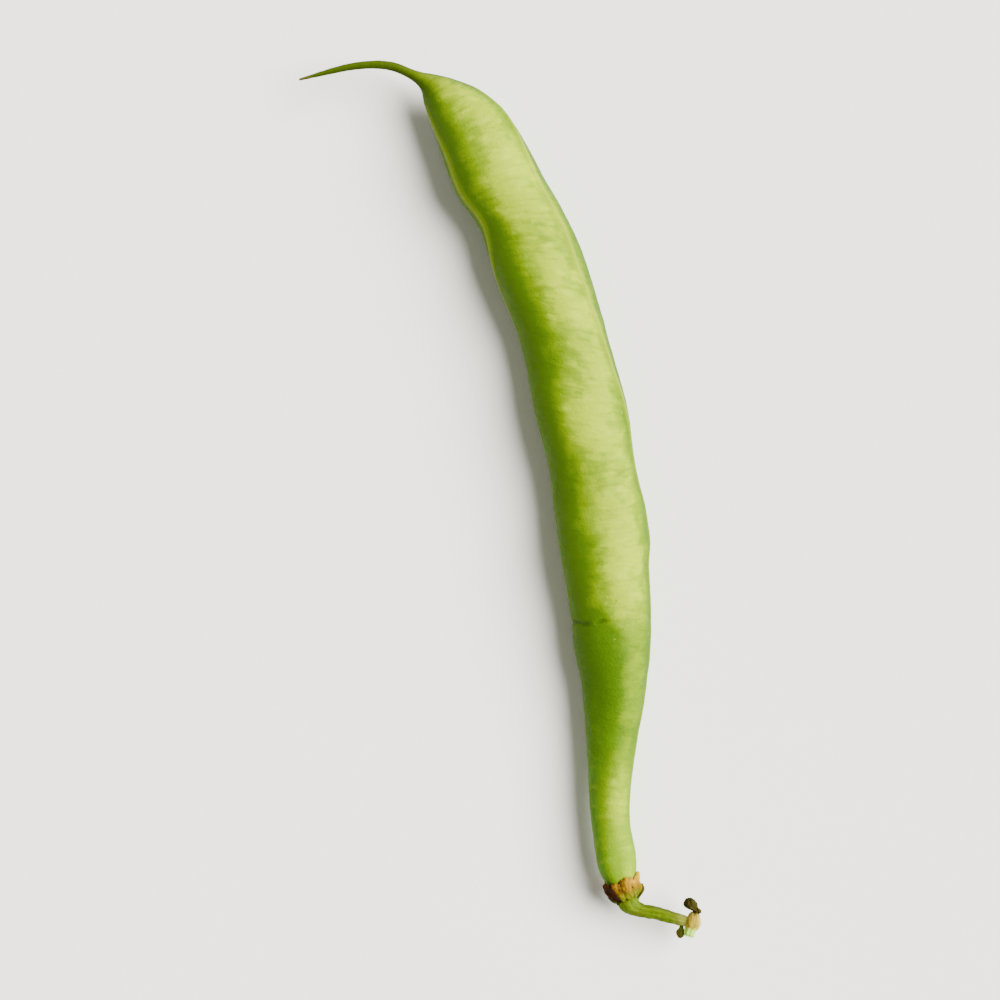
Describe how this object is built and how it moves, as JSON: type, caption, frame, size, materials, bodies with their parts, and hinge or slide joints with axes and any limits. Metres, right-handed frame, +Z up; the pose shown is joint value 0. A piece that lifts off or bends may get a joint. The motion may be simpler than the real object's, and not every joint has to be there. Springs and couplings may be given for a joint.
{
  "type": "green bean",
  "caption": "Fresh green bean pod lying on its side, gently curved and lumpy over the seeds, with a thin curved beak, a dried calyx cup and a short stalk.",
  "frame": {"origin": "middle of the bean's box in plan, on the plane it lies on", "axes": "+Z up from the surface it lies on; +Y along the pod towards the beak; +X towards the pod's outward-bulging side, away from the beak's point"},
  "size_m": [0.046, 0.1006, 0.0084],
  "materials": {
    "pod_skin": "waxy satin skin, fresh yellow-green",
    "dried_calyx": "dry and papery, tan",
    "stalk_skin": "matte green plant skin",
    "flower_stem_skin": "matte, pale tan, fresh pale green where it tore",
    "withered_bud": "dry and wrinkled, dark brown",
    "scale_leaf": "matte, dark green turning brown"
  },
  "bodies": {
    "root": {"pod": "pod_skin", "calyx": "dried_calyx", "stalk": "stalk_skin", "flower_stem": "flower_stem_skin", "withered_bud": "withered_bud", "flower_bract": "scale_leaf", "lower_bracteole": "scale_leaf", "upper_bracteole": "scale_leaf"}
  },
  "joints": []
}
